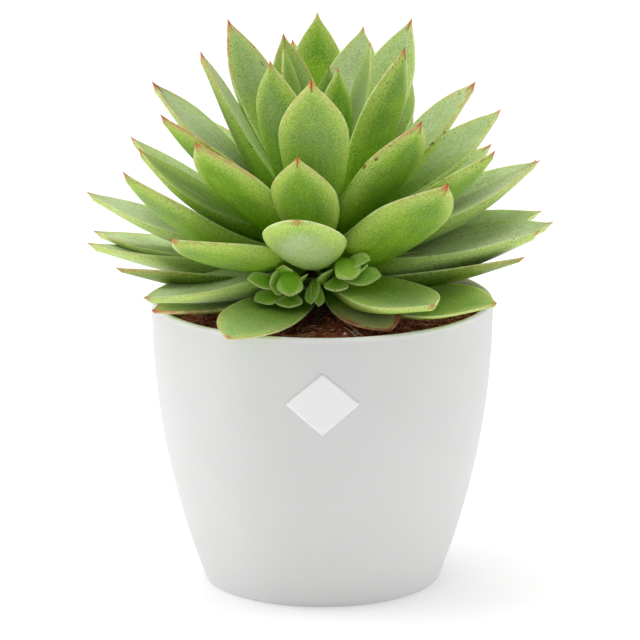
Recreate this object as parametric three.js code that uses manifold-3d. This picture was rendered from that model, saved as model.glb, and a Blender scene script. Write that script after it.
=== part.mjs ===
// Potted succulent: a rosette of thick pointed leaves with a cluster of three
// small offsets, growing from dark soil in a plain white pot.
// Units are millimetres and +Z is up. The origin is the centre of the pot's
// flat underside, and -Y is the side that carries the label.
import * as THREE from 'three';
import { mergeVertices } from 'three/addons/utils/BufferGeometryUtils.js';
import Module from 'manifold-3d';

const wasm = await Module();
wasm.setup();

// Pot: a 14 cm cover pot whose wall swells from a narrow foot to the rim.
const POT_HEIGHT = 118;
const RIM_RADIUS = 70;
const FOOT_RADIUS = 48.3;
const WALL_SWELL = 2.1;
const WALL = 3;
const POT_FLOOR = 5;
const FOOT_CHAMFER = 0.8;
const POT_SEGMENTS = 52;

// Clearance between pieces that touch on the real thing.
const GAP = 0.3;

// Soil: a low mound that stands a little under the rim.
const SOIL_EDGE = POT_HEIGHT - 5;
const SOIL_MOUND = 1.2;
const SOIL_LUMP = 0.35;

// Label: a blank paper diamond on the front of the wall.
const LABEL_WIDTH = 29.4;
const LABEL_HEIGHT = 26;
const LABEL_THICKNESS = 0.4;
const LABEL_MIDDLE = 90.7;

// Rosette: leaf heights are measured from DATUM, the level of the lowest bases.
const DATUM = POT_HEIGHT - 3;
const STEM_X = -1;
const STEM_RADIUS = 7;
const STEM_DEPTH = 18;
const STEM_TOP = 42;
const BASE_RADIUS = 5;

// Leaves of the rosette that were placed one by one. Each row is
// [turn, rise, curl, length, width, height, roll, bluntness]: the heading in degrees
// from the front towards +X, the mean slope and its growth from base to tip, the
// length and greatest width, the height of the base over DATUM, the twist about the
// leaf's own axis, and how round the end is, from 0 (a point) to 1 (round). The
// groups run from the rim to the heart, and thickness is a share of the width.
const PLACED_LEAVES = [
  { thickness: 0.23, rows: [
    [-62, -3, 4, 72, 28, 10, -2, 0.3],
    [-24, 0, -6, 84, 27, 7, -12, 1],
    [26, -6, -6, 59, 24, 10, 12, 0.7],
    [51, 3, 15, 86, 32, 10, 13, 0.3],
    [-70, 8, 12, 84, 28, 11, 16, 0],
    [70, 11, 14, 85, 28, 11, -12, 0],
  ] },
  { thickness: 0.34, rows: [
    [-54, -6, 14, 83, 33, 24, 6, 0.1],
    [31, 0, 18, 82, 30, 18, 7, 0.7],
    [-96, 1, 18, 92, 32, 22, 7, 0],
    [-103, 5, 10, 92, 30, 18, 2, 0],
    [76, 10, 26, 89, 33, 21, -8, 0],
    [84, 13, 10, 93, 33, 16, 12, 0],
    [104, 9, 6, 91, 29, 20, 10, 0],
  ] },
  { thickness: 0.31, rows: [
    [-92, 14, 22, 94, 31, 24, 0, 0],
    [-40, 11, 24, 89, 31, 27, 14, 0],
    [-6, 19, 26, 88, 33, 27, 0, 0.9],
    [38, 29, 24, 89, 33, 22, -16, 0.15],
    [-62, 27, 34, 96, 30, 22, 8, 0],
    [106, 19, 10, 95, 29, 24, 8, 0],
    [124, 22, 8, 88, 28, 24, 4, 0],
    [92, 21, 38, 91, 30, 28, -3, 0],
    [-98, 31, 16, 86, 29, 24, 0, 0],
    [-7, 36, 26, 85, 27, 28, -2, 0],
    [-84, 27, 38, 79, 29, 32, -8, 0],
    [-38, 34, 20, 91, 30, 31, 2, 0],
    [56, 31, 20, 93, 28, 27, -6, 0],
    [105, 34, 6, 87, 30, 29, 8, 0],
    [36, 43, 10, 87, 29, 29, 0, 0],
    [-58, 38, 6, 89, 28, 33, 2, 0],
    [-86, 44, 4, 88, 30, 33, -12, 0],
    [84, 46, 2, 84, 31, 34, 16, 0],
    [52, 65, 8, 90, 27, 31, -2, 0],
    [-82, 59, 4, 85, 28, 34, -8, 0],
    [-3, 50, 16, 96, 28, 34, 2, 0],
    [-26, 62, 14, 86, 25, 34, -6, 0],
    [-129, 60, 0, 88, 28, 37, 2, 0],
    [134, 58, 2, 90, 28, 36, 4, 0],
    [162, 52, 8, 87, 26, 37, 0, 0],
    [181, 52, 9, 93, 25, 37, 4, 0],
    [-145, 74, 2, 77, 25, 35, 6, 0],
    [110, 76, 6, 70, 22, 40, -4, 0],
    [-110, 81, 0, 68, 19, 40, 0, 0],
    [38, 84, 6, 62, 18, 39, 0, 0],
    [162, 83, 5, 57, 14, 41, 0, 0],
  ] },
];
const BACK_THICKNESS = 0.31;

// The bud: the youngest leaves, which close the heart over the top of the stem.
const BUD_THICKNESS = 0.4;
const BUD_RADIUS = 1.5;
const BUD_ROWS = [
  [20, 80, 8, 40, 12, 40, 0, 0],
  [140, 84, 6, 34, 11, 40, 0, 0],
  [260, 86, 4, 29, 9, 41, 0, 0],
];

// The back of the rosette is filled by the golden section, from low to high, and
// the higher leaves keep nearer to the middle of the back.
const BACK_LEAVES = 15;
const BACK_SPREAD = 128;
const GOLDEN_SECTION = 0.618;

// Offsets: three small heads on one branching stem in front of the rosette. The
// stem rises to a bend and leans out to a fork, where a branch starts for each
// head. Rows are like those of the rosette, with the height counted from the head.
const OFFSET_ROOT = [-1.4, -27];
const OFFSET_STEM_RADIUS = 1.1;
const OFFSET_STEM_DEPTH = 10;
const OFFSET_BEND = 125;
const OFFSET_FORK = [-3.2, -29.5, 129.5];
const OFFSET_HEAD_DEPTH = 3;
const OFFSET_BASE_RADIUS = 0.3;
const OFFSET_THICKNESS = 0.36;
const OFFSET_HEADS = [
  { at: [-13.5, -34.2, 131.3], rows: [
    [-61, 12, 10, 19.5, 9, 1.2, -38, 0.1],
    [-56, -8, 20, 17, 9, -1.5, -25, 0.2],
    [0, -16, 24, 13, 11, -2.2, 0, 0.5],
    [3, -24, -70, 14, 11, 3.5, 180, 0.6],
    [-38, 6, -20, 12, 10, 1, -80, 0.5],
    [-25, 60, 20, 10, 8, 1, 0, 0.3],
    [70, 30, 20, 9, 7, 1, 0, 0.3],
  ] },
  { at: [-3, -30.5, 131], rows: [
    [-8, -33, -20, 15, 7, 2.5, 28, 0.3],
    [8, -36, -10, 14, 6.5, 1.5, -25, 0.3],
    [61, 42, -20, 11, 8, 0, 0, 0.2],
  ] },
  { at: [6.5, -34.2, 136.3], rows: [
    [49, 22, -36, 18, 7, 1.6, 46, 0.4],
    [64, 5, 16, 19, 10, -0.5, 35, 0.2],
    [62, 22, 30, 14, 8, 0, 20, 0.3],
    [28, -15, -60, 13, 11, 3, -160, 0.6],
    [-8, -13, 24, 12, 10, -1.5, 0, 0.5],
  ] },
];

const LEAF_MESH = { stations: [0, 0.16, 0.32, 0.47, 0.6, 0.71, 0.81, 0.9, 0.96], sides: 8 };
const SMALL_LEAF_MESH = { stations: [0, 0.3, 0.56, 0.78, 0.93], sides: 6 };

const radians = THREE.MathUtils.degToRad;
const clamp01 = (x) => THREE.MathUtils.clamp(x, 0, 1);

function smoothstep(from, to, x) {
  const t = clamp01((x - from) / (to - from));
  return t * t * (3 - 2 * t);
}

// Small repeatable random numbers, so the plant is the same on every run.
function seededRandom(seed) {
  let state = seed;
  return () => {
    state = (state * 16807) % 2147483647;
    return state / 2147483647;
  };
}

function toSolid(geometry) {
  const bare = geometry.clone();
  bare.deleteAttribute('normal');
  bare.deleteAttribute('uv');
  const merged = mergeVertices(bare, 1e-4);
  return new wasm.Manifold(new wasm.Mesh({
    numProp: 3,
    vertProperties: new Float32Array(merged.attributes.position.array),
    triVerts: new Uint32Array(merged.index.array),
  }));
}

function toGeometry(solid) {
  const mesh = solid.getMesh();
  const geometry = new THREE.BufferGeometry();
  geometry.setAttribute('position', new THREE.BufferAttribute(mesh.vertProperties, 3));
  geometry.setIndex(new THREE.BufferAttribute(mesh.triVerts, 1));
  geometry.computeVertexNormals();
  return geometry;
}

// Joins solids and keeps the outer skin alone, because leaf bases that lean on
// each other can close a hollow between them.
function fuse(solids) {
  const joined = toGeometry(solids.reduce((whole, piece) => whole.add(piece)));
  const index = joined.index.array;
  const parent = Array.from({ length: joined.attributes.position.count }, (_, i) => i);
  const find = (i) => {
    let root = i;
    while (parent[root] !== root) {
      parent[root] = parent[parent[root]];
      root = parent[root];
    }
    return root;
  };
  for (let i = 0; i < index.length; i += 3) {
    parent[find(index[i + 1])] = find(index[i]);
    parent[find(index[i + 2])] = find(index[i]);
  }
  const skins = new Map();
  for (let i = 0; i < index.length; i += 3) {
    const skin = find(index[i]);
    if (!skins.has(skin)) {
      skins.set(skin, []);
    }
    skins.get(skin).push(index[i], index[i + 1], index[i + 2]);
  }
  const outer = [...skins.values()].reduce((a, b) => (b.length > a.length ? b : a));
  return joined.setIndex(outer);
}

// A closed skin over rings of points that run counter-clockwise about the way
// from the first ring to the last; the last ring is drawn together to a tip.
function loft(rings, tip) {
  const sides = rings[0].length;
  const points = rings.flat();
  const triangles = [];
  for (let i = 0; i < rings.length - 1; i += 1) {
    for (let j = 0; j < sides; j += 1) {
      const a = i * sides + j;
      const b = i * sides + (j + 1) % sides;
      triangles.push(a, b, b + sides, a, b + sides, a + sides);
    }
  }
  const last = (rings.length - 1) * sides;
  const tipIndex = points.push(tip) - 1;
  for (let j = 0; j < sides; j += 1) {
    triangles.push(last + j, last + (j + 1) % sides, tipIndex);
  }
  for (let j = 1; j < sides - 1; j += 1) {
    triangles.push(0, j + 1, j);
  }
  const geometry = new THREE.BufferGeometry().setFromPoints(points);
  geometry.setIndex(triangles);
  return geometry;
}

// Share of the greatest half-width at s, from 0 at the base to 1 at the tip:
// a narrow foot, the widest place at 0.64, then a drawn-out or a round end.
function leafOutline(s, bluntness) {
  const waist = 0.4;
  const widest = 0.64;
  if (s < widest) {
    return waist + (1 - waist) * Math.sin((s / widest) * Math.PI / 2) ** 1.35;
  }
  const x = (s - widest) / (1 - widest);
  return (1 - x * x) ** (1 - 0.48 * bluntness) * (1 - 0.42 * (1 - bluntness) * x ** 3);
}

// Point and slope at s of a centreline whose slope grows evenly by curl.
function centreline(leaf, s) {
  const start = radians(leaf.rise - leaf.curl / 2);
  const growth = radians(leaf.curl);
  const slope = start + growth * s;
  if (Math.abs(growth) < 1e-3) {
    const run = leaf.length * s;
    return { out: run * Math.cos(start), up: run * Math.sin(start), slope };
  }
  const bend = leaf.length / growth;
  return {
    out: bend * (Math.sin(slope) - Math.sin(start)),
    up: bend * (Math.cos(start) - Math.cos(slope)),
    slope,
  };
}

// One leaf: a lens section, shallowly channelled above and keeled below.
function leafGeometry(leaf, { stations, sides } = LEAF_MESH) {
  const turn = radians(leaf.turn);
  const outward = new THREE.Vector3(Math.sin(turn), -Math.cos(turn), 0);
  const across = new THREE.Vector3(Math.cos(turn), Math.sin(turn), 0);
  const upward = new THREE.Vector3(0, 0, 1);
  const roll = radians(leaf.roll);
  const place = (s) => {
    const { out, up, slope } = centreline(leaf, s);
    const point = leaf.root.clone()
      .addScaledVector(outward, leaf.offset + out)
      .addScaledVector(upward, up);
    const normal = outward.clone().multiplyScalar(-Math.sin(slope))
      .addScaledVector(upward, Math.cos(slope));
    const side = across.clone().multiplyScalar(Math.cos(roll))
      .addScaledVector(normal, Math.sin(roll));
    normal.multiplyScalar(Math.cos(roll)).addScaledVector(across, -Math.sin(roll));
    return { point, normal, side };
  };
  const rings = stations.map((s) => {
    const { point, normal, side } = place(s);
    const half = leaf.width / 2 * leafOutline(s, leaf.bluntness);
    const full = leaf.thickness * (0.24 + 0.76 * smoothstep(1, 0.25, s));
    const thick = Math.min(full, 1.1 * half);
    const ring = [];
    for (let j = 0; j < sides; j += 1) {
      const angle = 2 * Math.PI * j / sides;
      const u = Math.cos(angle);
      const lift = Math.sin(angle);
      const channel = 0.1 * half * (u * u - 0.5);
      const skin = lift > 0
        ? 0.22 * thick * lift ** 0.8
        : -0.9 * thick * Math.abs(lift) ** 0.85;
      ring.push(point.clone()
        .addScaledVector(side, half * u)
        .addScaledVector(normal, channel + skin));
    }
    return ring;
  });
  return loft(rings, place(1).point);
}

// Names the numbers of a row, and sets the leaf's root on an axis through a place.
function leafFromRow([turn, rise, curl, length, width, height, roll, bluntness], growth) {
  const [x, y, z] = growth.at;
  return {
    turn,
    rise,
    curl,
    length,
    width,
    roll,
    bluntness,
    thickness: growth.thickness * width,
    offset: growth.offset,
    root: new THREE.Vector3(x, y, z + height),
  };
}

// The leaves but for the bud: the placed ones and the filled back, rooted on the stem.
function rosetteLeaves() {
  const growth = { at: [STEM_X, 0, DATUM], offset: BASE_RADIUS };
  const leaves = PLACED_LEAVES.flatMap(({ thickness, rows }) => (
    rows.map((row) => leafFromRow(row, { ...growth, thickness }))));
  const random = seededRandom(17);
  for (let n = 0; n < BACK_LEAVES; n += 1) {
    const level = n / (BACK_LEAVES - 1);
    const turn = 180 + ((n * GOLDEN_SECTION) % 1 - 0.5) * BACK_SPREAD * (1 - 0.5 * level);
    const rise = 5 + 41 * level + 4 * (random() - 0.5);
    const length = 88 + 6 * (random() - 0.5);
    const roll = 8 * (random() - 0.5);
    const row = [turn, rise, 14 - 6 * level, length, 30 - 2 * level, 16 + 18 * level, roll, 0];
    leaves.push(leafFromRow(row, { ...growth, thickness: BACK_THICKNESS }));
  }
  return leaves;
}

// A solid of revolution about Z from pairs of radius and height.
function lathe(profile, segments) {
  const points = profile.map(([radius, z]) => new THREE.Vector2(radius, z));
  return new THREE.LatheGeometry(points, segments).rotateX(Math.PI / 2);
}

// A round rod from one point to another.
function rod(from, to, radius, sides = 8) {
  const way = to.clone().sub(from);
  const cylinder = new THREE.CylinderGeometry(radius, radius, way.length(), sides);
  cylinder.applyQuaternion(new THREE.Quaternion().setFromUnitVectors(
    new THREE.Vector3(0, 1, 0),
    way.clone().normalize(),
  ));
  return cylinder.translate(...from.clone().lerp(to, 0.5).toArray());
}

// The rosette: every leaf sunk into one short thick stem.
function rosette() {
  const stem = lathe([
    [0, SOIL_EDGE - STEM_DEPTH],
    [STEM_RADIUS - 1.5, SOIL_EDGE - STEM_DEPTH],
    [STEM_RADIUS, SOIL_EDGE],
    [STEM_RADIUS, DATUM + STEM_TOP / 2],
    [STEM_RADIUS - 1, DATUM + STEM_TOP - 4],
    [0, DATUM + STEM_TOP],
  ], 16).translate(STEM_X, 0, 0);
  const growth = { at: [STEM_X, 0, DATUM], thickness: BUD_THICKNESS, offset: BUD_RADIUS };
  const leaves = rosetteLeaves().map((leaf) => leafGeometry(leaf));
  const bud = BUD_ROWS.map((row) => leafGeometry(leafFromRow(row, growth), SMALL_LEAF_MESH));
  return fuse([stem, ...leaves, ...bud].map(toSolid));
}

// One small head: thick leaves that spread from a short stem of their own.
function offsetHead({ at, rows }) {
  const growth = { at, thickness: OFFSET_THICKNESS, offset: OFFSET_BASE_RADIUS };
  const leaves = rows.map((row) => leafGeometry(leafFromRow(row, growth), SMALL_LEAF_MESH));
  const middle = new THREE.Vector3(...at);
  const stem = rod(
    middle.clone().setZ(middle.z - OFFSET_HEAD_DEPTH),
    middle.clone().setZ(middle.z + OFFSET_HEAD_DEPTH),
    OFFSET_STEM_RADIUS,
  );
  return toSolid(fuse([stem, ...leaves].map(toSolid)));
}

// The offsets: one thin stem, three short branches and a head on each.
function offsets() {
  const foot = new THREE.Vector3(...OFFSET_ROOT, SOIL_EDGE - OFFSET_STEM_DEPTH);
  const bend = foot.clone().setZ(OFFSET_BEND);
  const fork = new THREE.Vector3(...OFFSET_FORK);
  const solids = [
    toSolid(rod(foot, bend, OFFSET_STEM_RADIUS)),
    toSolid(rod(bend.clone().setZ(OFFSET_BEND - 1), fork, OFFSET_STEM_RADIUS)),
  ];
  for (const head of OFFSET_HEADS) {
    solids.push(toSolid(rod(fork, new THREE.Vector3(...head.at), 0.8 * OFFSET_STEM_RADIUS)));
    solids.push(offsetHead(head));
  }
  return fuse(solids);
}

// Outer radius of the wall at z.
const wallRadius = (z) => RIM_RADIUS
  - (RIM_RADIUS - FOOT_RADIUS) * (1 - z / POT_HEIGHT) ** WALL_SWELL;

// Heights at which the inner wall has its stations, from the rim down.
const INNER_HEIGHTS = [0.99, 0.87, 0.75, 0.5, 0.3, 0.15].map((share) => share * POT_HEIGHT);

// Radius of the inner wall at z, on the straight runs between its stations.
function innerRadius(z) {
  const above = INNER_HEIGHTS.findLast((height) => height >= z);
  const below = INNER_HEIGHTS.find((height) => height < z) ?? above;
  const share = above === below ? 0 : (z - below) / (above - below);
  return THREE.MathUtils.lerp(wallRadius(below), wallRadius(above), share) - WALL;
}

// The pot: a thin wall with a narrow flat lip, a flat floor and a flat underside.
function pot() {
  const outer = [[0, 0], [FOOT_RADIUS - FOOT_CHAMFER, 0]];
  for (const share of [0.007, 0.06, 0.13, 0.21, 0.3, 0.42, 0.56, 0.75, 0.99]) {
    const z = share * POT_HEIGHT;
    outer.push([wallRadius(z), z]);
  }
  const lip = [[RIM_RADIUS - 1, POT_HEIGHT], [RIM_RADIUS - WALL + 0.8, POT_HEIGHT]];
  const inner = INNER_HEIGHTS.map((z) => [innerRadius(z), z]);
  const floor = [[wallRadius(POT_FLOOR) - WALL - 2, POT_FLOOR], [0, POT_FLOOR]];
  return lathe([...outer, ...lip, ...inner, ...floor], POT_SEGMENTS);
}

// Height of the soil at a distance from the middle, before its small lumps.
function soilTop(radius) {
  return SOIL_EDGE + SOIL_MOUND * (1 - smoothstep(8, 60, radius));
}

// The soil fills the pot, with plain holes that the stems stand in.
function soil() {
  const side = INNER_HEIGHTS.filter((z) => z < SOIL_EDGE - 1).reverse()
    .map((z) => [innerRadius(z) - 1.2 * GAP, z]);
  const bottom = POT_FLOOR + GAP;
  const edge = innerRadius(SOIL_EDGE) - 1.2 * GAP;
  const top = [60, 52, 44, 36, 28, 20, 12].map((radius) => [radius, soilTop(radius)]);
  const body = lathe([
    [0, bottom],
    [wallRadius(POT_FLOOR) - WALL - 3, bottom],
    ...side,
    [edge, SOIL_EDGE - 1],
    [edge - 1, SOIL_EDGE],
    ...top,
    [0, soilTop(0)],
  ], POT_SEGMENTS);
  const position = body.attributes.position;
  const random = seededRandom(5);
  const lumps = Array.from({ length: 5 }, () => [
    0.1 + 0.15 * random(), 0.1 + 0.15 * random(), 6 * random(),
  ]);
  for (let i = 0; i < position.count; i += 1) {
    const [x, y, z] = [position.getX(i), position.getY(i), position.getZ(i)];
    if (z > SOIL_EDGE - 0.5) {
      const lump = lumps.reduce((sum, [p, q, phase]) => sum + Math.sin(p * x + q * y + phase), 0);
      position.setZ(i, z + SOIL_LUMP * lump / 2);
    }
  }
  const hole = (x, y, radius, depth, sides) => toSolid(rod(
    new THREE.Vector3(x, y, SOIL_EDGE - depth - GAP),
    new THREE.Vector3(x, y, POT_HEIGHT + 10),
    radius + 2 * GAP,
    sides,
  ));
  const filled = toSolid(body)
    .subtract(hole(STEM_X, 0, STEM_RADIUS, STEM_DEPTH, 16))
    .subtract(hole(...OFFSET_ROOT, OFFSET_STEM_RADIUS, OFFSET_STEM_DEPTH, 8));
  return toGeometry(filled);
}

// The label is a thin diamond that follows the wall, a hair in front of it.
function label() {
  const steps = 12;
  const front = [];
  const back = [];
  for (let i = 0; i <= steps; i += 1) {
    const across = (i / steps - 0.5) * LABEL_WIDTH;
    const reach = Math.max(0.2, (1 - Math.abs(across) / (LABEL_WIDTH / 2)) * LABEL_HEIGHT / 2);
    for (const [row, standoff] of [[back, GAP], [front, GAP + LABEL_THICKNESS]]) {
      row.push([-1, 0, 1].map((end) => {
        const z = LABEL_MIDDLE + end * reach;
        const radius = wallRadius(z) + standoff;
        const angle = across / wallRadius(LABEL_MIDDLE);
        return new THREE.Vector3(radius * Math.sin(angle), -radius * Math.cos(angle), z);
      }));
    }
  }
  const sides = 6;
  const rings = front.map((column, i) => [...column, ...back[i].toReversed()]);
  const points = rings.flat();
  const triangles = [];
  for (let i = 0; i < steps; i += 1) {
    for (let j = 0; j < sides; j += 1) {
      const a = i * sides + j;
      const b = i * sides + (j + 1) % sides;
      triangles.push(a, a + sides, b + sides, a, b + sides, b);
    }
  }
  // The two pointed ends are closed by strips from the front edge to the back.
  for (const [end, order] of [[0, [0, 1, 2]], [steps * sides, [0, 2, 1]]]) {
    for (const strip of [[0, 1, 4], [0, 4, 5], [1, 2, 3], [1, 3, 4]]) {
      triangles.push(...order.map((k) => end + strip[k]));
    }
  }
  const geometry = new THREE.BufferGeometry().setFromPoints(points);
  geometry.setIndex(triangles);
  return geometry;
}

const potPlastic = new THREE.MeshStandardMaterial({ color: 0xf2f2f0, roughness: 0.4 });
const darkSoil = new THREE.MeshStandardMaterial({ color: 0x3a241a, roughness: 0.95 });
const waxyLeaf = new THREE.MeshStandardMaterial({ color: 0x86ad62, roughness: 0.5 });
const youngLeaf = new THREE.MeshStandardMaterial({ color: 0x6fa63c, roughness: 0.5 });
const labelPaper = new THREE.MeshStandardMaterial({ color: 0xe6e6e4, roughness: 0.7 });

const pieces = [
  ['pot', pot, potPlastic],
  ['soil', soil, darkSoil],
  ['rosette', rosette, waxyLeaf],
  ['offsets', offsets, youngLeaf],
  ['label', label, labelPaper],
];

const plant = new THREE.Group();
for (const [name, shape, material] of pieces) {
  const mesh = new THREE.Mesh(shape(), material);
  mesh.name = name;
  plant.add(mesh);
}

export default plant;
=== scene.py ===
import bpy
import numpy as np
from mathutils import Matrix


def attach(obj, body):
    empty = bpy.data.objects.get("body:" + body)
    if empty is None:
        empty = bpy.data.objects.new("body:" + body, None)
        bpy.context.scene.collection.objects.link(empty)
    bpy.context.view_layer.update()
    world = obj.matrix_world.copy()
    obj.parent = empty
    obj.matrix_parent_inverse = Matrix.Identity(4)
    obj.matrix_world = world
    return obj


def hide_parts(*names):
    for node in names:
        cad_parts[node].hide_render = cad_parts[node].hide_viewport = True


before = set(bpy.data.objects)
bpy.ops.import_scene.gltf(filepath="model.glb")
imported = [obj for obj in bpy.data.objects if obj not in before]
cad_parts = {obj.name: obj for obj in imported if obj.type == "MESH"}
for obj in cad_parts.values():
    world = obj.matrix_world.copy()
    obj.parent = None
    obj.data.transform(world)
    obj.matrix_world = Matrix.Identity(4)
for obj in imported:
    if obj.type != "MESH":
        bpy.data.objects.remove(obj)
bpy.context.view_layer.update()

# ---- Pot -------------------------------------------------------------------
# A cover pot moulded in one piece in white plastic with a satin skin. Its thin wall
# swells from a narrow foot to the rim, which ends in a small rounded lip.

# The sizes of pieces are in millimetres, and MM is one of them in metres.
MM = 0.001
POT_HEIGHT = 118
RIM_RADIUS = 70
FOOT_RADIUS = 48.3
WALL_SWELL = 2.1
WALL = 3
POT_FLOOR = 5
FOOT_ROUNDING = 0.8
LIP_DEPTH = 1.6
INNER_CORNER = 3
POT_SIDES = 192
FOOT_STEPS = 6
WALL_STEPS = 60
LIP_STEPS = 14
INSIDE_STEPS = 40
PLASTIC_SHADE = (0.725, 0.725, 0.72)
PLASTIC_WHITE = (0.75, 0.75, 0.745)
# The lip's colour and the height it starts from paint a highlight on the lip.
LIP_HIGHLIGHT = (0.96, 0.96, 0.955)
LIP_HIGHLIGHT_FROM = 115.5


class Wire:
    """An output of a shader tree. A sum, difference or product with it adds a Math node."""

    def __init__(self, tree, socket=None):
        self.tree = tree
        self.socket = socket

    def add(self, kind, inputs=None, output=0, **settings):
        """Adds a node: its settings first, then a value or a wire for each input."""
        node = self.tree.nodes.new("ShaderNode" + kind)
        for name, value in settings.items():
            setattr(node, name, value)
        for key, value in (inputs or {}).items():
            if isinstance(value, Wire):
                self.tree.links.new(value.socket, node.inputs[key])
            else:
                node.inputs[key].default_value = value
        return Wire(self.tree, node.outputs[output])

    def math(self, operation, *values):
        """One Math operation on its values, each a wire or a number."""
        return self.add("Math", dict(enumerate(values)), operation=operation)

    def __add__(self, other):
        return self.math("ADD", self, other)

    def __sub__(self, other):
        return self.math("SUBTRACT", self, other)

    def __rsub__(self, other):
        return self.math("SUBTRACT", other, self)

    def __mul__(self, other):
        return self.math("MULTIPLY", self, other)

    __radd__ = __add__
    __rmul__ = __mul__

    def step(self, low, high):
        """0 at low, 1 at high and smooth between; the other way round if high is lower."""
        ends = {0: self, 1: low, 2: high, 3: 0.0, 4: 1.0}
        return self.add("MapRange", ends, interpolation_type="SMOOTHSTEP")

    def blend(self, colour, other):
        """The first colour where this wire is 0 and the other one where it is 1."""
        ends = {0: self}
        for key, value in ((6, colour), (7, other)):
            ends[key] = value if isinstance(value, Wire) else (*value, 1)
        return self.add("Mix", ends, output=2, data_type="RGBA")

    def parts(self):
        """The three numbers of a vector, as three wires."""
        node = self.add("SeparateXYZ", {0: self}).socket.node
        return [Wire(self.tree, socket) for socket in node.outputs]

    def noise(self, place, scale, detail=2.0, roughness=0.5):
        """Cloudy noise about 0.5 at a place; its scale is in clouds to the metre."""
        ends = {"Vector": place, "Scale": scale, "Detail": detail, "Roughness": roughness}
        return self.add("TexNoise", ends)

    def read(self, name):
        """The vector that each point of the mesh keeps under a name."""
        return self.add("Attribute", output=1, attribute_name=name)

    def absolute(self):
        """The same number without its sign."""
        return self.math("ABSOLUTE", self)

    def clipped(self, low, high):
        """The same number, held between low and high."""
        return self.math("MINIMUM", self.math("MAXIMUM", self, low), high)


def new_finish(name, **constants):
    """A material with constants on its own shader's sockets, and a wire to build with."""
    material = bpy.data.materials.new(name)
    material.use_nodes = True
    shader = material.node_tree.nodes["Principled BSDF"]
    for socket, value in constants.items():
        shader.inputs[socket.replace("_", " ")].default_value = value
    return material, Wire(material.node_tree)


def connect(material, colour, roughness, height, depth):
    """Feeds colour and roughness, and height through a bump that is depth metres deep."""
    tree = material.node_tree
    shader = tree.nodes["Principled BSDF"]
    bump = height.add("Bump", {"Height": height, "Distance": depth, "Strength": 1.0})
    tree.links.new(colour.socket, shader.inputs["Base Color"])
    tree.links.new(roughness.socket, shader.inputs["Roughness"])
    tree.links.new(bump.socket, shader.inputs["Normal"])


def grid_quads(rows, columns, around):
    """Quads of a grid of points. Each runs from a point to the next column, then to the
    next row; around also joins the last column to the first."""
    row, column = np.meshgrid(np.arange(rows - 1), np.arange(columns - (not around)),
                              indexing="ij")
    here = row * columns + column
    beside = row * columns + (column + 1) % columns
    return np.stack([here, beside, beside + columns, here + columns], -1).reshape(-1, 4)


def new_piece(name, points, quads, triangles, material, slot, node):
    """Puts millimetre points and faces into a smooth mesh object at the origin, which
    stands for a node of the CAD part."""
    quads = np.asarray(quads, int).reshape(-1, 4)
    triangles = np.asarray(triangles, int).reshape(-1, 3)
    corners = np.concatenate([quads.ravel(), triangles.ravel()])
    counts = np.repeat([4, 3], [len(quads), len(triangles)])
    mesh = bpy.data.meshes.new(name)
    mesh.vertices.add(len(points))
    mesh.vertices.foreach_set("co", (np.asarray(points, float) * MM).ravel())
    mesh.loops.add(len(corners))
    mesh.loops.foreach_set("vertex_index", corners)
    mesh.polygons.add(len(counts))
    mesh.polygons.foreach_set("loop_start", np.cumsum(counts) - counts)
    mesh.polygons.foreach_set("use_smooth", np.ones(len(counts), bool))
    mesh.update(calc_edges=True)
    mesh.materials.append(material)
    piece = bpy.data.objects.new(name, mesh)
    bpy.context.scene.collection.objects.link(piece)
    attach(piece, "root")
    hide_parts(node)
    return piece


def revolve(profile, sides):
    """Turns a profile of radius and height about Z, from a pole to a pole: each station
    is a ring of radius times (cos, sin) of the angle, and the poles close the ends."""
    profile = np.asarray(profile, float)
    angle = np.arange(sides) * 2 * np.pi / sides
    radius, height = profile[1:-1, 0][:, None], profile[1:-1, 1][:, None]
    rings = np.stack([radius * np.cos(angle), radius * np.sin(angle),
                      height + 0 * angle], -1).reshape(-1, 3)
    poles = [[0, 0, profile[0, 1]], [0, 0, profile[-1, 1]]]
    first, last = len(rings), len(rings) + 1
    start = np.arange(sides)
    beside = (start + 1) % sides
    end = len(rings) - sides
    fans = np.concatenate([
        np.stack([beside, start, np.full(sides, first)], -1),
        np.stack([start + end, beside + end, np.full(sides, last)], -1),
    ])
    return np.concatenate([rings, poles]), grid_quads(len(profile) - 2, sides, True), fans


def wall_radius(height):
    """Outer radius of the wall: the rim's, less a power of the depth below the rim."""
    depth = 1 - height / POT_HEIGHT
    return RIM_RADIUS - (RIM_RADIUS - FOOT_RADIUS) * depth ** WALL_SWELL


def pot_profile():
    """Underside, foot rounded by a quarter circle, swelling wall, lip as half an ellipse,
    inner wall at one wall's thickness from the outer one, cut corner and floor."""
    quarter = np.linspace(0, np.pi / 2, FOOT_STEPS)
    foot = np.stack([FOOT_RADIUS - FOOT_ROUNDING * (1 - np.sin(quarter)),
                     FOOT_ROUNDING * (1 - np.cos(quarter))], -1)
    top = POT_HEIGHT - LIP_DEPTH
    rise = np.linspace(FOOT_ROUNDING + 0.4, top, WALL_STEPS)
    wall = np.stack([wall_radius(rise), rise], -1)
    half = np.linspace(0, np.pi, LIP_STEPS)[1:-1]
    lip = np.stack([wall_radius(top) - WALL / 2 * (1 - np.cos(half)),
                    top + LIP_DEPTH * np.sin(half)], -1)
    fall = np.linspace(top, POT_FLOOR + INNER_CORNER + 1, INSIDE_STEPS)
    inside = np.stack([wall_radius(fall) - WALL, fall], -1)
    floor_edge = wall_radius(POT_FLOOR) - WALL - INNER_CORNER
    return np.concatenate([[[0, 0], [FOOT_RADIUS / 2, 0]], foot, wall, lip, inside,
                           [[floor_edge, POT_FLOOR], [floor_edge / 2, POT_FLOOR],
                            [0, POT_FLOOR]]])


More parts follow.
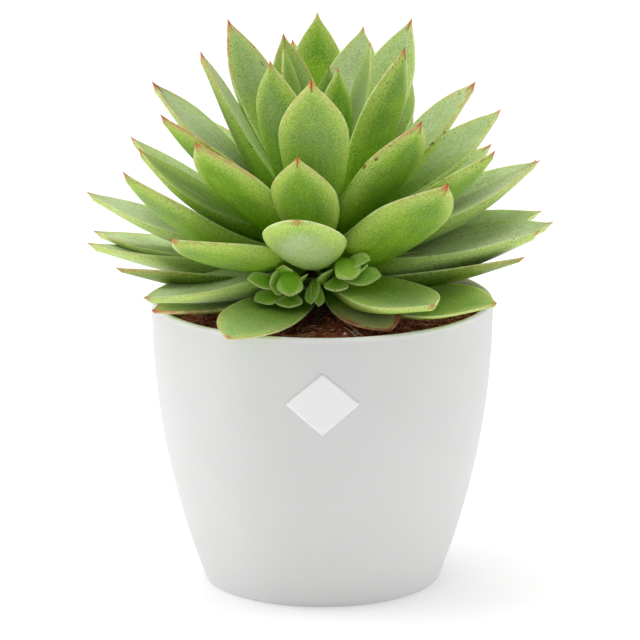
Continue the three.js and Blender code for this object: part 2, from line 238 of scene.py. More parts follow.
def satin_plastic():
    """White plastic: very faint cloudy tone and a fine grain from the mould, and a painted
    highlight that whitens the lip from a height just under the rim."""
    material, wire = new_finish("satin_plastic", Specular_IOR_Level=0.4)
    place = wire.add("TexCoord", output="Object")
    cloud = wire.noise(place, 18.0, 3.0)
    grain = wire.noise(place, 2600.0, 2.0)
    colour = cloud.step(0.3, 0.7).blend(PLASTIC_SHADE, PLASTIC_WHITE)
    # Painted highlight: from just under the rim to the top of the lip the colour turns near
    # white.
    lip = place.parts()[2].step(LIP_HIGHLIGHT_FROM * MM, POT_HEIGHT * MM)
    colour = lip.blend(colour, LIP_HIGHLIGHT)
    connect(material, colour, 0.42 + 0.08 * cloud, grain, 0.00002)
    return material


points, quads, fans = revolve(pot_profile(), POT_SIDES)
new_piece("pot_shell", points, quads, fans, satin_plastic(), "pot_plastic", "pot")

# ---- Label -----------------------------------------------------------------
# A blank diamond cut from plain matt paper with a glued back. It is stuck on the front
# of the pot, below the rim, and bends with the wall.

LABEL_WIDTH = 29.4
LABEL_HEIGHT = 26
LABEL_MIDDLE = 90.7
LABEL_BACK = 0.08
LABEL_FRONT = 0.42
LABEL_STEPS = 25
PAPER_SHADE = (0.94, 0.94, 0.935)
PAPER_WHITE = (0.97, 0.97, 0.965)


def label_points(steps):
    """Two shares, a and b, run along the diamond's sides: across is their difference and
    up is their sum. The front sheet and the back one follow the wall at their standoffs."""
    share = np.linspace(0, 1, steps)
    a, b = np.meshgrid(share, share, indexing="ij")
    height = LABEL_MIDDLE + (a + b - 1) * LABEL_HEIGHT / 2
    angle = (a - b) * LABEL_WIDTH / 2 / wall_radius(LABEL_MIDDLE)
    sheets = [np.stack([(wall_radius(height) + off) * np.sin(angle),
                        -(wall_radius(height) + off) * np.cos(angle), height], -1)
              for off in (LABEL_FRONT, LABEL_BACK)]
    return np.concatenate([sheet.reshape(-1, 3) for sheet in sheets])


def label_faces(steps):
    """Front sheet, turned-over back sheet, and a strip of edge quads round the border."""
    front = grid_quads(steps, steps, False)
    across = np.arange(steps)
    border = np.concatenate([across, across[1:] * steps + steps - 1,
                             steps * steps - 2 - across[:-1],
                             (steps - 2 - across[:-2]) * steps])
    beside = np.roll(border, -1)
    behind = steps * steps
    edge = np.stack([border, beside, beside + behind, border + behind], -1)
    return np.concatenate([front[:, ::-1], front + behind, edge])


def matt_paper():
    """Off-white paper with a faint fibre in its tone and its surface."""
    material, wire = new_finish("matt_paper", Specular_IOR_Level=0.3)
    place = wire.add("TexCoord", output="Object")
    fibre = wire.noise(place, 900.0, 4.0)
    colour = fibre.step(0.3, 0.7).blend(PAPER_SHADE, PAPER_WHITE)
    connect(material, colour, 0.6 + 0.1 * fibre, fibre, 0.00002)
    return material


new_piece("paper_label", label_points(LABEL_STEPS), label_faces(LABEL_STEPS), [],
          matt_paper(), "label_paper", "label")

# ---- Soil ------------------------------------------------------------------
# Loose dark potting soil of coconut fibre and peat, filled to a little under the rim.
# Crumbs and short fibres lie on it, with white perlite and a few dry strands.

SOIL_EDGE = 113
SOIL_MOUND = 1.2
MOUND_TOP = 8
MOUND_FOOT = 60
SOIL_RADIUS = 66.4
SOIL_BOTTOM = 100
SOIL_BOTTOM_RING = 40
SOIL_CLEARANCE = 0.5
SOIL_RINGS = 60
SOIL_SIDES = 160
RIPPLE_LENGTHS = (31, 23, 17, 11, 7, 4.5, 3)
RIPPLE_STEEPNESS = 0.012
RIPPLE_SEED = 5
ICOSAHEDRON_RADIUS = 1.9
PEAT = (0.16, 0.036, 0.016)
RED_PEAT = (0.42, 0.11, 0.055)
PALE_CRUMB_PEAT = (0.82, 0.28, 0.15)


def smooth_share(low, high, value):
    """0 below low, 1 above high, and the smooth cubic between them."""
    t = np.clip((value - low) / (high - low), 0, 1)
    return t * t * (3 - 2 * t)


def soil_height(x, y):
    """The mound, which is highest in the middle, plus crossing sine ripples: each has its
    own length, and a heading and a phase drawn with a seed."""
    draw = np.random.default_rng(RIPPLE_SEED)
    radius = np.hypot(x, y)
    height = SOIL_EDGE + SOIL_MOUND * (1 - smooth_share(MOUND_TOP, MOUND_FOOT, radius))
    for length in RIPPLE_LENGTHS:
        heading, phase = draw.uniform(0, 2 * np.pi, 2)
        wave = 2 * np.pi / length * (x * np.cos(heading) + y * np.sin(heading))
        height = height + RIPPLE_STEEPNESS * length * np.sin(wave + phase)
    return height


def soil_body():
    """The revolved plug of soil, whose top points are lifted to the soil's height."""
    top = [[radius, SOIL_EDGE] for radius in np.linspace(SOIL_RADIUS, 0, SOIL_RINGS)]
    bottom_radius = wall_radius(SOIL_BOTTOM) - WALL - SOIL_CLEARANCE
    profile = [[0, SOIL_BOTTOM], [SOIL_BOTTOM_RING, SOIL_BOTTOM],
               [bottom_radius, SOIL_BOTTOM], *top]
    points, quads, fans = revolve(profile, SOIL_SIDES)
    lifted = points[:, 2] > SOIL_EDGE - 1
    points[lifted, 2] = soil_height(*points[lifted, :2].T)
    return points, quads, fans


def spread_on_soil(draw, count, reach):
    """Places spread evenly over the soil: the radius is the reach times the root of a
    drawn share of the disc, and the angle is drawn too."""
    radius = reach * np.sqrt(draw.uniform(0.02, 1, count))
    angle = draw.uniform(0, 2 * np.pi, count)
    x, y = radius * np.cos(angle), radius * np.sin(angle)
    return np.stack([x, y, soil_height(x, y)], -1)


def turns(draw, count):
    """Random rotation matrices, from normalised random quaternions."""
    quaternions = draw.normal(size=(4, count))
    w, x, y, z = quaternions / np.linalg.norm(quaternions, axis=0)
    return np.stack([
        1 - 2 * (y * y + z * z), 2 * (x * y - z * w), 2 * (x * z + y * w),
        2 * (x * y + z * w), 1 - 2 * (x * x + z * z), 2 * (y * z - x * w),
        2 * (x * z - y * w), 2 * (y * z + x * w), 1 - 2 * (x * x + y * y),
    ], -1).reshape(count, 3, 3)


def grains(draw, centres, size, flatness):
    """Lumps with 20 faces: an icosahedron whose corners are moved in and out at random,
    scaled differently each way, turned at random and set on its centre."""
    golden = (1 + 5 ** 0.5) / 2
    corners = np.array([[-1, golden, 0], [1, golden, 0], [-1, -golden, 0], [1, -golden, 0],
                        [0, -1, golden], [0, 1, golden], [0, -1, -golden], [0, 1, -golden],
                        [golden, 0, -1], [golden, 0, 1], [-golden, 0, -1], [-golden, 0, 1]])
    faces = np.array([[0, 11, 5], [0, 5, 1], [0, 1, 7], [0, 7, 10], [0, 10, 11],
                      [1, 5, 9], [5, 11, 4], [11, 10, 2], [10, 7, 6], [7, 1, 8],
                      [3, 9, 4], [3, 4, 2], [3, 2, 6], [3, 6, 8], [3, 8, 9],
                      [4, 9, 5], [2, 4, 11], [6, 2, 10], [8, 6, 7], [9, 8, 1]])
    count = len(centres)
    lumps = corners / ICOSAHEDRON_RADIUS * draw.uniform(0.7, 1.15, (count, 12, 1))
    lumps = lumps * draw.uniform(*size, (count, 1, 1))
    lumps = lumps * draw.uniform(flatness, 1, (count, 1, 3))
    lumps = lumps @ turns(draw, count) + centres[:, None]
    return lumps.reshape(-1, 3), (faces + 12 * np.arange(count)[:, None, None]).reshape(-1, 3)


NEARLY_UPRIGHT = [0.13, 0.21, 0.97]
TAPER_FROM = 0.25


def strands(paths, radius, sides=4):
    """Thin tubes, many at once: round each point of a path stands a ring of sides points.
    Its radius falls towards both ends as the root of a sine, and the ends are closed."""
    paths = np.asarray(paths, float)
    count, stations = paths.shape[:2]
    way = np.gradient(paths, axis=1)
    way /= np.linalg.norm(way, axis=2, keepdims=True)
    side = np.cross(way, NEARLY_UPRIGHT)
    side /= np.linalg.norm(side, axis=2, keepdims=True)
    over = np.cross(side, way)
    angle = np.arange(sides) * 2 * np.pi / sides
    taper = np.sin(np.linspace(TAPER_FROM, np.pi - TAPER_FROM, stations)) ** 0.5
    girth = np.broadcast_to(radius, count)[:, None, None, None] * taper[:, None, None]
    ring = (side[:, :, None] * np.cos(angle)[:, None]
            - over[:, :, None] * np.sin(angle)[:, None])
    points = (paths[:, :, None] + girth * ring).reshape(-1, 3)
    first = np.arange(count)[:, None, None] * stations * sides
    quads = (grid_quads(stations, sides, True) + first).reshape(-1, 4)
    cap = np.arange(sides)
    fan = np.stack([np.zeros(sides - 2, int), cap[1:-1], cap[2:]], -1)
    end = (stations - 1) * sides
    caps = np.concatenate([fan[:, ::-1] + first, fan + end + first], 1).reshape(-1, 3)
    return points, quads, caps


FIBRE_STATIONS = 7


def short_fibres(draw, centres, length):
    """Curved paths that lie nearly flat. Each has a heading, which turns by its bend along
    the way, a slight slope, and a low arch that is a parabola."""
    count = len(centres)
    heading = draw.uniform(0, 2 * np.pi, (count, 1))
    bend = draw.normal(0, 0.7, (count, 1))
    share = np.linspace(-0.5, 0.5, FIBRE_STATIONS)
    reach = draw.uniform(*length, (count, 1))
    angle = heading + bend * share * 2
    along = np.stack([np.cos(angle) * share * reach, np.sin(angle) * share * reach,
                      draw.normal(0, 0.22, (count, 1)) * share * reach
                      + 0.4 - 1.2 * share ** 2], -1)
    return centres[:, None] + along


def damp_soil():
    """Dark red-brown peat in patches, with paler crumbs where the crumb noise is high,
    which is also where it raises the bump.
    """
    material, wire = new_finish("damp_soil", Specular_IOR_Level=0.25)
    place = wire.add("TexCoord", output="Object")
    crumb = wire.noise(place, 420.0, 4.0, 0.7)
    patch = wire.noise(place, 60.0, 2.0)
    dark = patch.step(0.35, 0.65).blend(PEAT, RED_PEAT)
    # Paler where the crumb noise is high, the same noise that lifts the bump.
    colour = crumb.step(0.45, 0.65).blend(dark, PALE_CRUMB_PEAT)
    connect(material, colour, 0.8 + 0.2 * crumb, crumb, 0.0012)
    return material


FIBRE_DARK = (0.34, 0.08, 0.04)
FIBRE_RED = (0.92, 0.44, 0.28)
FIBRE_DUST = (0.36, 0.22, 0.14)


def coconut_fibre():
    """Reddish-brown fibre, each bit a little lighter or darker than the next."""
    material, wire = new_finish("coconut_fibre", Specular_IOR_Level=0.3)
    place = wire.add("TexCoord", output="Object")
    bit = wire.noise(place, 260.0, 1.0)
    mottle = wire.noise(place, 1500.0, 2.0)
    red = bit.step(0.35, 0.65).blend(FIBRE_DARK, FIBRE_RED)
    colour = (0.4 * mottle).blend(red, FIBRE_DUST)
    connect(material, colour, 0.7 + 0.2 * mottle, mottle, 0.0002)
    return material


PERLITE_WHITE = (0.95, 0.93, 0.90)
PERLITE_STAIN = (0.62, 0.50, 0.40)


def chalky_perlite():
    """White puffed perlite, stained a little by the peat."""
    material, wire = new_finish("chalky_perlite", Specular_IOR_Level=0.2)
    place = wire.add("TexCoord", output="Object")
    stain = wire.noise(place, 700.0, 3.0)
    colour = stain.step(0.5, 0.8).blend(PERLITE_WHITE, PERLITE_STAIN)
    connect(material, colour, 0.85 + 0.1 * stain, stain, 0.0003)
    return material


STRAW_PALE = (0.88, 0.68, 0.48)
STRAW_RED = (0.72, 0.34, 0.22)


def dry_straw():
    """Pale tan strands with redder stretches."""
    material, wire = new_finish("dry_straw", Specular_IOR_Level=0.3)
    place = wire.add("TexCoord", output="Object")
    stretch = wire.noise(place, 150.0, 3.0)
    colour = stretch.step(0.4, 0.65).blend(STRAW_PALE, STRAW_RED)
    connect(material, colour, 0.6 + 0.2 * stretch, stretch, 0.0002)
    return material


# Sizes and lengths run from the first number to the second; flatness is the least share
# of a grain's size that is left to it one way.
SCATTER_SEED = 21
CRUMBS = 1500
CRUMB_REACH = 65.3
CRUMB_SIZE = (0.45, 1.5)
CRUMB_FLATNESS = 0.45
FIBRES = 1100
FIBRE_REACH = 62
FIBRE_LENGTH = (2.5, 7)
FIBRE_RADIUS = (0.12, 0.34)
PERLITE = 34
PERLITE_REACH = 64
PERLITE_SIZE = (0.7, 1.3)
PERLITE_FLATNESS = 0.6
FRONT_PERLITE = [9, -51, 115.2]

draw = np.random.default_rng(SCATTER_SEED)
soil_finish = damp_soil()
new_piece("soil_body", *soil_body(), soil_finish, "soil", "soil")
points, faces = grains(draw, spread_on_soil(draw, CRUMBS, CRUMB_REACH), CRUMB_SIZE,
                       CRUMB_FLATNESS)
new_piece("soil_crumbs", points, [], faces, soil_finish, "soil", "soil")
paths = short_fibres(draw, spread_on_soil(draw, FIBRES, FIBRE_REACH), FIBRE_LENGTH)
new_piece("soil_fibres", *strands(paths, draw.uniform(*FIBRE_RADIUS, FIBRES)),
          coconut_fibre(), "soil", "soil")
perlite = spread_on_soil(draw, PERLITE, PERLITE_REACH)
perlite[0] = FRONT_PERLITE
points, faces = grains(draw, perlite, PERLITE_SIZE, PERLITE_FLATNESS)
new_piece("perlite_grains", points, [], faces, chalky_perlite(), "soil", "soil")

# Each dry strand starts at the first point, leans towards the second and ends at the third.
DRY_STRANDS = [
    [[9, -36, 116], [12, -46, 116.8], [16, -55, 115.4]],
    [[8.4, -40, 115.4], [10.4, -47, 116.4], [13.6, -55.4, 115.2]],
    [[-49, 3, 116], [-44, -6, 118.5], [-39, 4, 116.5]],
    [[-42, -9, 115], [-38, -1, 118.5], [-35, 8, 116]],
    [[-47, -10, 116], [-41, -12, 117], [-36, -8, 115.5]],
    [[30, 48, 115], [37, 44, 116.6], [45, 45, 115]],
]
STRAND_RADIUS = 0.22
STRAND_STATIONS = 16
STRAND_SIDES = 6
PALE_FIBRES = 260
PALE_FIBRE_LENGTH = (2, 5)
PALE_FIBRE_RADIUS = (0.14, 0.26)


def curved_through(ends, stations):
    """Quadratic curves that start, lean towards and end at the three points of a row."""
    ends = np.asarray(ends, float)
    share = np.linspace(0, 1, stations)[:, None]
    return ((1 - share) ** 2 * ends[:, None, 0] + 2 * share * (1 - share) * ends[:, None, 1]
            + share ** 2 * ends[:, None, 2])


straw_finish = dry_straw()
paths = curved_through(DRY_STRANDS, STRAND_STATIONS)
new_piece("dry_strands", *strands(paths, STRAND_RADIUS, STRAND_SIDES), straw_finish,
          "soil", "soil")
paths = short_fibres(draw, spread_on_soil(draw, PALE_FIBRES, FIBRE_REACH), PALE_FIBRE_LENGTH)
new_piece("pale_fibres", *strands(paths, draw.uniform(*PALE_FIBRE_RADIUS, PALE_FIBRES)),
          straw_finish, "soil", "soil")

# ---- Rosette ---------------------------------------------------------------
# One short thick stem that carries the whole rosette: firm leaves with a thin pale
# edge, grey bloom over green flesh, a bright foot, and a red point with a dark spine.

DATUM = 115
STEM_X = -1
BASE_RADIUS = 5
LEAF_STATIONS = 46
LEAF_SIDES = 36

# Each row is turn from the front towards +X, mean rise, curl from base to tip, length,
# width, height of the base over the datum, roll and bluntness, with angles in degrees.
# Then come red at the tip, red along the edge, specks and bloom, each from 0 to 1. Bloom
# # is set higher on some leaves in the shade of others, which paints light on them, and a
# # bloom below 0 paints shade on an old leaf as a dull olive.
RIM_LEAVES = [
    [-62, -3, 4, 72, 28, 10, -2, 0.3, 0.5, 0.9, 0.3, 0.6],
    [-24, 0, -6, 84, 27, 7, -12, 1, 0.1, 0.5, 0.4, 0.35],
    [26, -6, -6, 59, 24, 10, 12, 0.9, 0.3, 0.95, 0.3, 0.45],
    [51, 3, 15, 86, 32, 10, 13, 0.3, 0.3, 0.2, 0.3, 0.25],
    [-70, 8, 12, 84, 28, 11, 16, 0, 0.4, 0.6, 0.3, -0.4],
    [70, 11, 14, 85, 28, 11, -12, 0, 0.5, 0.4, 0.3, -0.4],
]
LOW_LEAVES = [
    [-54, -6, 14, 83, 33, 24, 6, 0.1, 0.5, 0.1, 0.2, 0.9],
    [31, 0, 18, 82, 30, 18, 7, 0.7, 0.2, 0.2, 0.4, 0.3],
    [-96, 1, 18, 91.9, 32, 22, 7, 0, 0.5, 0.2, 0.1, 0.9],
    [-103, 5, 10, 92, 30, 18, 2, 0, 0.6, 0.3, 0.1, 0.9],
    [76, 10, 26, 89, 33, 21, -8, 0, 0.5, 0.1, 0.3, 1.0],
    [84, 13, 10, 93, 33, 16, 12, 0, 0.4, 0.1, 0.2, 1.0],
    [104, 9, 6, 91, 29, 20, 10, 0, 0.4, 0.1, 0.1, 0.7],
]
MIDDLE_LEAVES = [
    [-92, 14, 22, 94, 31, 24, 0, 0, 0.4, 0.2, 0.1, 1.0],
    [-40, 11, 24, 89, 31, 27, 14, 0, 0.7, 0.3, 0.3, 0.4],
    [-6, 19, 26, 87, 33, 27, 0, 0.9, 0.2, 0.1, 0.1, 0.8],
    [38, 29, 24, 89, 33, 22, -16, 0.15, 0.8, 0.3, 0.3, 0.3],
    [-62, 27, 34, 96, 30, 22, 8, 0, 0.7, 0.3, 0.3, 0.4],
    [106, 19, 10, 95, 29, 24, 8, 0, 0.5, 0.2, 0.1, 0.8],
    [124, 22, 8, 88, 28, 24, 4, 0, 0.9, 0.2, 0.1, 0.4],
    [92, 21, 38, 91, 30, 28, -3, 0, 0.5, 0.3, 0.5, 0.9],
    [-98, 31, 16, 86, 29, 24, 0, 0, 0.7, 0.3, 0.2, 0.6],
    [-7, 36, 26, 85, 27, 28, -2, 0, 0.9, 0.4, 0.2, 0.3],
    [-84, 27, 38, 79, 29, 32, -8, 0, 0.8, 0.2, 0.2, 0.3],
    [-38, 34, 20, 91, 30, 31, 2, 0, 0.8, 0.8, 0.5, 0.2],
]
UPPER_LEAVES = [
    [56, 31, 20, 93, 28, 27, -6, 0, 0.8, 0.2, 0.9, 0.3],
    [105, 34, 6, 87, 30, 29, 8, 0, 0.5, 0.3, 1.0, 0.5],
    [36, 43, 10, 87, 29, 29, 0, 0, 0.9, 0.7, 0.9, 0.3],
    [-58, 38, 6, 89, 28, 33, 2, 0, 0.9, 0.85, 0.3, 0.4],
    [-86, 44, 4, 88, 30, 33, -12, 0, 1.0, 0.4, 0.4, 0.9],
    [84, 46, 2, 84, 31, 34, 16, 0, 0.9, 0.5, 1.0, 0.6],
    [52, 65, 8, 90, 27, 31, -2, 0, 1.0, 0.4, 0.6, 0.3],
    [-82, 59, 4, 85, 28, 34, -8, 0, 0.9, 0.5, 0.5, 0.7],
    [-3, 50, 16, 96, 28, 34, 2, 0, 1.0, 0.5, 0.4, 0.5],
    [-26, 62, 14, 86, 25, 34, -6, 0, 0.8, 0.3, 0.3, 0.5],
]
HEART_LEAVES = [
    [-129, 60, 0, 87.9, 28, 37, 2, 0, 0.8, 0.8, 0.9, 0.4],
    [134, 58, 2, 90, 28, 36, 4, 0, 0.9, 0.2, 0.2, 0.5],
    [162, 52, 8, 87, 26, 37, 0, 0, 0.7, 0.2, 0.2, 0.5],
    [181, 52, 9, 93, 25, 37, 4, 0, 0.6, 0.3, 0.4, 0.05],
    [-145, 74, 2, 77, 25, 35, 6, 0, 0.8, 0.5, 0.5, 0.2],
    [110, 76, 6, 70, 22, 40, -4, 0, 0.6, 0.2, 0.2, 0.4],
    [-110, 81, 0, 68, 19, 40, 0, 0, 0.8, 0.3, 0.3, 0.2],
    [38, 84, 6, 62, 18, 39, 0, 0, 0.8, 0.2, 0.2, 0.3],
    [162, 83, 5, 57, 14, 41, 0, 0, 0.8, 0.2, 0.1, 0.2],
]
BUD_LEAVES = [
    [20, 80, 8, 40, 12, 40, 0, 0, 0.6, 0.1, 0.0, 0.3],
    [140, 84, 6, 34, 11, 40, 0, 0, 0.5, 0.1, 0.0, 0.3],
    [260, 86, 4, 29, 9, 41, 0, 0, 0.5, 0.1, 0.0, 0.3],
]
BUD_RADIUS = 1.5
BACK_LEAVES = 15
BACK_SPREAD = 128
BACK_SEED = 17
DRAW_FACTOR = 16807
DRAW_WRAP = 2147483647
GOLDEN_SECTION = 0.618


def back_rows():
    """The back's leaves, with the columns of the rows above. The golden section spreads
    them, and they rise from low to high while they keep nearer to the back's middle. Each
    draw is the last one times a factor, wrapped."""
    state = BACK_SEED
    drawn = []
    for _ in range(3 * BACK_LEAVES):
        state = state * DRAW_FACTOR % DRAW_WRAP
        drawn.append(state / DRAW_WRAP - 0.5)
    rise_draw, length_draw, roll_draw = np.reshape(drawn, (BACK_LEAVES, 3)).T
    order = np.arange(BACK_LEAVES)
    level = order / (BACK_LEAVES - 1)
    fan = (order * GOLDEN_SECTION) % 1 - 0.5
    turn = 180 + fan * BACK_SPREAD * (1 - 0.5 * level)
    rise = 5 + 41 * level + 4 * rise_draw
    curl = 14 - 6 * level
    length = 88 + 6 * length_draw
    width = 30 - 2 * level
    base = 16 + 18 * level
    roll = 8 * roll_draw
    bluntness = 0 * level
    tip_red = 0.75 + 0.4 * rise_draw
    edge_red = 0.35 + 0.5 * length_draw
    specks = 0.35 + 0.5 * roll_draw
    bloom = 0.4 + 0.4 * length_draw
    return np.stack([turn, rise, curl, length, width, base, roll, bluntness,
                     tip_red, edge_red, specks, bloom], -1)


LEAF_FOOT = 0.4
LEAF_WIDEST = 0.64


def leaf_outline(share, bluntness):
    """Half-width share: a narrow foot that grows as a power of a sine to the widest
    place, then a parabola drawn out to a point, or rounder where the leaf is blunt."""
    rising = np.sin(np.clip(share / LEAF_WIDEST, 0, 1) * np.pi / 2) ** 1.35
    x = np.clip((share - LEAF_WIDEST) / (1 - LEAF_WIDEST), 0, 1)
    falling = (1 - x * x) ** (1 - 0.48 * bluntness) * (1 - 0.42 * (1 - bluntness) * x ** 3)
    point = 1 - 0.3 * (1 - bluntness) * smooth_share(0.9, 1, share)
    return np.where(share < LEAF_WIDEST, LEAF_FOOT + (1 - LEAF_FOOT) * rising,
                    falling * point)


TIP_CROWDING = 1.6
TIP_THICKNESS = 0.24
UPPER_FULLNESS = 0.06
LOWER_FULLNESS = 0.9
CHANNEL_DEPTH = 0.1
KEEL_DEPTH = 0.1
EDGE_SWAY = 0.012
EDGE_RIPPLE = 0.01


def leaf_skins(rows, thickness, roots, offset, stations, sides, seed):
    """Leaves as closed skins. The centreline is an arc whose slope grows evenly by the
    curl, and the skin thins towards the tip. Across it stands a lens: u is the cosine of
    the angle, the top is a shallow channel, and the bottom, a power of the sine, is full
    with a faint keel. Returns points, faces, and marks for the finish at each point."""
    rows = np.asarray(rows, float)
    count = len(rows)
    turn, rise, curl, length, width, _, roll, bluntness, *traits = (
        column[:, None, None] for column in rows.T)
    turn, roll = np.radians(turn), np.radians(roll)
    draw = np.random.default_rng(seed)
    step = np.linspace(0, 1, stations + 1)[:-1]
    share = (1 - (1 - step) ** TIP_CROWDING)[None, :, None]
    angle = (np.arange(sides) * 2 * np.pi / sides)[None, None, :]

    start = np.radians(rise - curl / 2)
    growth = np.radians(np.where(np.abs(curl) < 0.1, 0.1, curl))

    def place(s):
        """Centre, sideways and normal directions at a share of the arc, rolled about it."""
        slope = start + growth * s
        run = length / growth * (np.sin(slope) - np.sin(start)) + offset
        up = length / growth * (np.cos(start) - np.cos(slope))
        outward = np.stack([np.sin(turn), -np.cos(turn), 0 * turn], -1)
        across = np.stack([np.cos(turn), np.sin(turn), 0 * turn], -1)
        upward = np.array([0, 0, 1.0])
        centre = (roots[:, None, None] + outward * run[..., None] + upward * up[..., None])
        normal = -outward * np.sin(slope)[..., None] + upward * np.cos(slope)[..., None]
        side = across * np.cos(roll)[..., None] + normal * np.sin(roll)[..., None]
        normal = normal * np.cos(roll)[..., None] - across * np.sin(roll)[..., None]
        return centre, side, normal

    centre, side, normal = place(share)
    sway = draw.normal(0, 1, (3, count, 1, 1))
    half = width / 2 * leaf_outline(share, bluntness)
    half = half * (1 + EDGE_SWAY * sway[0] * np.sin(9 * share + 3 * sway[1]))
    thinning = TIP_THICKNESS + (1 - TIP_THICKNESS) * smooth_share(0, 0.75, 1 - share)
    full = thickness * width * thinning
    thick = np.minimum(full, 1.1 * half)
    u, lift = np.cos(angle), np.sin(angle)
    keel = 1 + KEEL_DEPTH * smooth_share(0.4, 0.8, share) * (1 - np.abs(u)) ** 2
    channel = CHANNEL_DEPTH * half * (u * u - 0.5)
    ripple = EDGE_RIPPLE * half * np.sin(11 * share + 4 * sway[2]) * np.abs(u) ** 3
    top = UPPER_FULLNESS * thick * np.abs(lift) ** 0.95
    bottom = -LOWER_FULLNESS * thick * np.abs(lift) ** 0.9 * keel
    height = channel + ripple + np.where(lift > 0, top, bottom)
    skin = centre + side * (half * u)[..., None] + normal * height[..., None]
    tip = place(np.ones((1, 1, 1)))[0].reshape(count, 1, 3)
    points = np.concatenate([skin.reshape(count, -1, 3), tip], 1)

    each = stations * sides + 1
    first = np.arange(count)[:, None, None] * each
    quads = (grid_quads(stations, sides, True) + first).reshape(-1, 4)
    start_ring = np.arange(sides)
    last_ring = start_ring + (stations - 1) * sides
    tips = np.stack([last_ring, np.roll(last_ring, -1), np.full(sides, each - 1)], -1)
    foot = np.stack([np.zeros(sides - 2, int), start_ring[2:], start_ring[1:-1]], -1)
    fans = (np.concatenate([tips, foot]) + first).reshape(-1, 3)

    def marks(*values):
        """Three values for each point of every leaf; the tip takes the last ring's."""
        values = [np.broadcast_to(value, (count, stations, sides)) for value in values]
        skin_marks = np.stack(values, -1).reshape(count, -1, len(values))
        return np.concatenate([skin_marks, skin_marks[:, -1:]], 1).reshape(-1, len(values))

    far = np.hypot(half * (1 - np.abs(u)), height - channel) / (width / 2)
    place_marks = marks(u, share, np.where(lift > 0, -far, far))
    place_marks[each - 1::each] = [0, 1, 0]
    trait_marks = marks(*traits[:3])
    own = draw.uniform(0, 1, (count, 1, 1))
    from_tip = np.sqrt(((1 - share) * length) ** 2 + (half * u) ** 2 + height ** 2) / width
    tone_marks = marks(traits[3], own, from_tip)
    tone_marks[each - 1::each, 2] = 0
    return points.reshape(-1, 3), quads, fans, place_marks, trait_marks, tone_marks


def new_leaves(name, skins, material, slot, node):
    """Makes the piece and writes where each point is on its leaf and the leaf's traits."""
    points, quads, fans, *marks = skins
    piece = new_piece(name, points, quads, fans, material, slot, node)
    for title, values in zip(("leaf_place", "leaf_traits", "leaf_tone"), marks):
        layer = piece.data.attributes.new(title, "FLOAT_VECTOR", "POINT")
        layer.data.foreach_set("vector", np.ascontiguousarray(values, np.float32).ravel())


# The next two colours are painted: light on the undersides, and shade as a dull olive.
UNDERSIDE_LIGHT_GREEN = (0.62, 0.80, 0.26)
SHADE_OLIVE = (0.10, 0.13, 0.03)
GRAIN_GREEN = (0.62, 0.84, 0.16)
MARGIN_TAN = (0.74, 0.56, 0.26)
# A pale blush, partly real colour and partly painted light for a leaf in shade.
MARGIN_BLUSH_AND_LIGHT = (0.98, 0.80, 0.60)
MARGIN_LINE = (0.70, 0.84, 0.40)
MARGIN_PINK = (0.64, 0.23, 0.16)
TIP_RED = (0.64, 0.11, 0.08)
SPINE_RED = (0.30, 0.012, 0.012)
POINT_BROWN = (0.16, 0.02, 0.012)
DOT_BROWN = (0.10, 0.045, 0.02)
MARK_BROWN = (0.16, 0.05, 0.03)


class LeafSurface:
    """What the finish reads at a point of a leaf: its place across, along, below the
    margin and from the tip, the leaf's traits, noises, and masks worked out from them."""

    def __init__(self, wire):
        self.wire = wire
        self.across, self.along, self.below = wire.read("leaf_place").parts()
        self.tip_red, self.edge_red, self.specks = wire.read("leaf_traits").parts()
        self.bloom, self.own, self.from_tip = wire.read("leaf_tone").parts()
        self.place = wire.add("TexCoord", output="Object")
        self.cloud = wire.noise(self.place, 45.0, 3.0)
        self.mottle = wire.noise(self.place, 260.0, 3.0, 0.6)
        self.speckle = wire.noise(self.place, 1700.0, 2.0, 0.6)
        self.streak = wire.noise(self.stretched(8.0, 2.0, 48.0), 1.0, 3.0)
        self.brush = wire.noise(self.stretched(34.0, 4.0, 90.0), 1.0, 2.0)
        self.reach = self.across.absolute()
        self.rim = self.below.absolute()
        self.under = self.below.step(-0.02, 0.06)
        self.upper = 1.0 - self.under
        # The band under the margin carries painted light caught where the curving edge turns
        # to the lamps, over a paler margin zone.
        self.band = self.rim.step(0.65, 0.05) * self.along.step(0.1, 0.5)
        powdery = 0.1 + 0.9 * self.upper * self.bloom.step(0.55, 0.95)
        self.grain = powdery * (self.brush - 0.5)

    def stretched(self, across, along, own):
        """The place on the leaf times a number each way, and moved on for each leaf."""
        return self.wire.add("CombineXYZ", {
            0: self.across * across, 1: self.along * along, 2: self.own * own})


def leaf_flesh(leaf, foot, flesh, deep, edge):
    """The foot's colour, then flesh and a deeper green in clouds. A band under the margin is
    lighter, partly a paler margin zone and partly painted light where the edge curves; a
    bloom below 0 paints shade as olive, and powdery leaves get painted light underneath."""
    middle = (0.8 * leaf.cloud + 0.2 * leaf.streak).step(0.38, 0.62).blend(flesh, deep)
    colour = (leaf.along + 0.25 * (leaf.streak - 0.5)).step(0.12, 0.65).blend(foot, middle)
    # Band under the margin: partly a paler margin zone and partly painted light, more so
    # underneath.
    colour = (leaf.band * (0.5 + 0.25 * leaf.under)).blend(colour, edge)
    # Painted shade: a bloom below 0 turns the leaf towards a dull olive.
    colour = (leaf.bloom.step(0.0, -0.5) * 0.75).blend(colour, SHADE_OLIVE)
    # Painted light: the undersides of the powdery leaves are made lighter, as if lit from
    # below.
    painted_underside_light = leaf.under * leaf.bloom.step(0.82, 0.95) * leaf.along.step(0.1, 0.45)
    return (painted_underside_light * 0.6).blend(colour, UNDERSIDE_LIGHT_GREEN)


